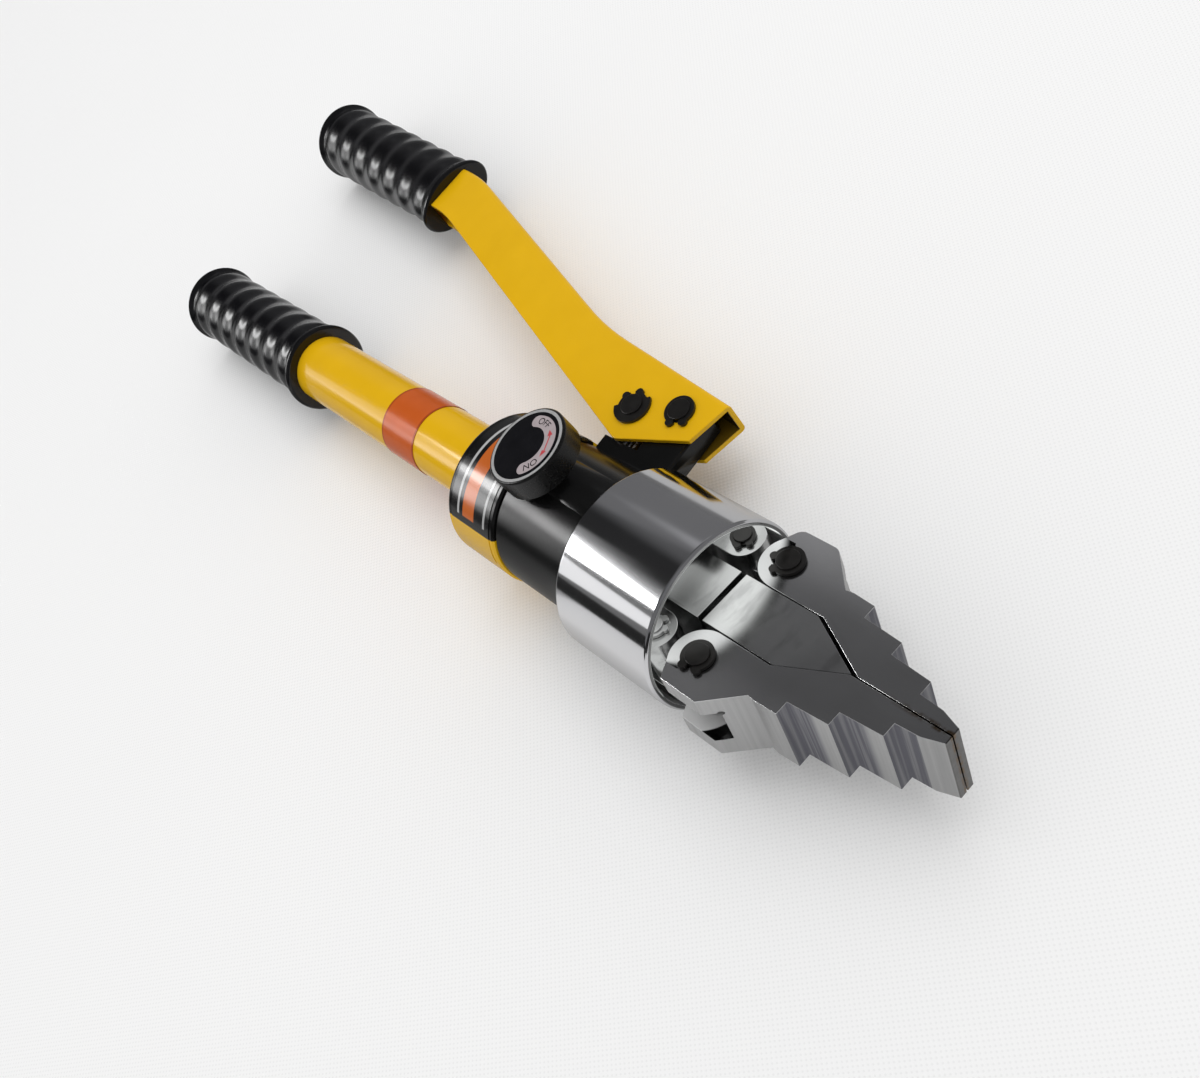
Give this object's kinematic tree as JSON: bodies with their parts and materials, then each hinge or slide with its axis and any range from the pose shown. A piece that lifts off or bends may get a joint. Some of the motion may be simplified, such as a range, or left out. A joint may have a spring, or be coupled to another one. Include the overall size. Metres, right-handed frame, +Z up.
{
  "type": "hydraulic spreader",
  "caption": "Hand-pumped hydraulic flange spreader: a pump lever on an oil-filled handle tube drives a wedge that parts stepped steel jaws on links.",
  "frame": {"origin": "on the handle tube's axis, at the middle of its bare length between grip and collar", "axes": "+X along the tube to the jaw tips, +Y to the pump lever, +Z up on the release knob's side"},
  "size_m": [0.4968, 0.1747, 0.0805],
  "materials": {
    "yellow_paint": "glossy yellow enamel",
    "black_body": "satin black",
    "chrome": "mirror chrome plate",
    "ground_steel": "ground and polished steel",
    "black_steel": "black oxide",
    "bright_steel": "turned steel",
    "grip_rubber": "glossy black moulded grip",
    "seal_rubber": "black oil-proof rubber",
    "bronze": "turned bronze",
    "orange_foil": "printed foil",
    "collar_foil": "printed foil",
    "knob_plastic": "black moulded plastic",
    "dial_print": "black dial",
    "white_print": "white dial arc",
    "silver_ring": "silver ring"
  },
  "bodies": {
    "pump": {"handle_tube": "yellow_paint", "tube_band": "orange_foil", "fixed_grip": "grip_rubber", "tube_end_plug": "bright_steel", "filler_screw": "bright_steel", "oil_bladder": "seal_rubber", "bladder_clip": "bright_steel", "collar": "yellow_paint", "collar_band": "collar_foil", "pump_body": "black_body", "oil_screen": "bronze", "suction_ball": "bright_steel", "delivery_ball": "bright_steel", "delivery_spring": "bright_steel", "delivery_plug": "bright_steel", "relief_ball": "bright_steel", "relief_spring": "bright_steel", "relief_plug": "black_steel", "cylinder_head": "chrome", "gland_bush": "bronze", "rod_wiper": "seal_rubber", "clevis_block": "ground_steel", "clevis_screws": "black_steel", "link_pins": "black_steel", "link_pin_clips": "black_steel", "return_spring": "bright_steel", "fulcrum_pin": "black_steel", "fulcrum_clips": "black_steel", "plunger_seal": "seal_rubber", "plunger_gland": "bronze"},
    "ram": {"piston": "bright_steel", "piston_seal": "seal_rubber", "piston_rod": "bright_steel", "wedge": "ground_steel", "wedge_pin": "bright_steel"},
    "link_left": {"link_left": "ground_steel"},
    "link_right": {"link_right": "ground_steel"},
    "jaw_left": {"jaw_left": "ground_steel", "jaw_pin_left": "black_steel", "jaw_clips_left": "black_steel"},
    "jaw_right": {"jaw_right": "ground_steel", "jaw_pin_right": "black_steel", "jaw_clips_right": "black_steel"},
    "lever": {"lever_channel": "yellow_paint", "lever_grip": "grip_rubber", "plunger_pin": "black_steel", "plunger_pin_clips": "black_steel"},
    "plunger": {"plunger": "bright_steel"},
    "release": {"release_knob": "knob_plastic", "dial_ring": "silver_ring", "dial_plate": "dial_print", "dial_arc": "white_print", "release_screw": "bright_steel"}
  },
  "joints": [
    {"name": "ram_slide", "type": "slide", "parent": "pump", "child": "ram", "axis": [1, 0, 0], "range_m": [0, 0.0174], "stiffness_N_per_m": 4000, "springref_m": -0.01, "deforming": ["return_spring"]},
    {"name": "link_left_swing", "type": "hinge", "parent": "pump", "child": "link_left", "pos_m": [0.1928, -0.02132, 0.00453], "axis": [0, 0.2079, 0.9781], "range_deg": [-28, 0]},
    {"name": "jaw_left_swing", "type": "hinge", "parent": "link_left", "child": "jaw_left", "pos_m": [0.2134, -0.02132, 0.00453], "axis": [0, 0.2079, 0.9781], "range_deg": [0, 28]},
    {"name": "link_right_swing", "type": "hinge", "parent": "pump", "child": "link_right", "pos_m": [0.1928, 0.02132, -0.00453], "axis": [0, 0.2079, 0.9781], "range_deg": [0, 28]},
    {"name": "jaw_right_swing", "type": "hinge", "parent": "link_right", "child": "jaw_right", "pos_m": [0.2134, 0.02132, -0.00453], "axis": [0, 0.2079, 0.9781], "range_deg": [-28, 0]},
    {"name": "lever_swing", "type": "hinge", "parent": "pump", "child": "lever", "pos_m": [0.1329, 0.0554, 0], "axis": [0, 0, 1], "range_deg": [-16, 11.5]},
    {"name": "plunger_slide", "type": "slide", "parent": "pump", "child": "plunger", "axis": [0, -1, 0], "range_m": [-0.0059, 0.00425]},
    {"name": "release_turn", "type": "hinge", "parent": "pump", "child": "release", "pos_m": [0.116, 0.0082, 0.043], "axis": [-0.1219, 0, 0.9925], "range_deg": [0, 100]}
  ],
  "couplings": [
    {"joint": "link_left_swing", "follows": "ram_slide", "rad_per_m": -28.05},
    {"joint": "jaw_left_swing", "follows": "ram_slide", "rad_per_m": 28.05},
    {"joint": "link_right_swing", "follows": "ram_slide", "rad_per_m": 28.05},
    {"joint": "jaw_right_swing", "follows": "ram_slide", "rad_per_m": -28.05},
    {"joint": "plunger_slide", "follows": "lever_swing", "m_per_rad": 0.021}
  ]
}
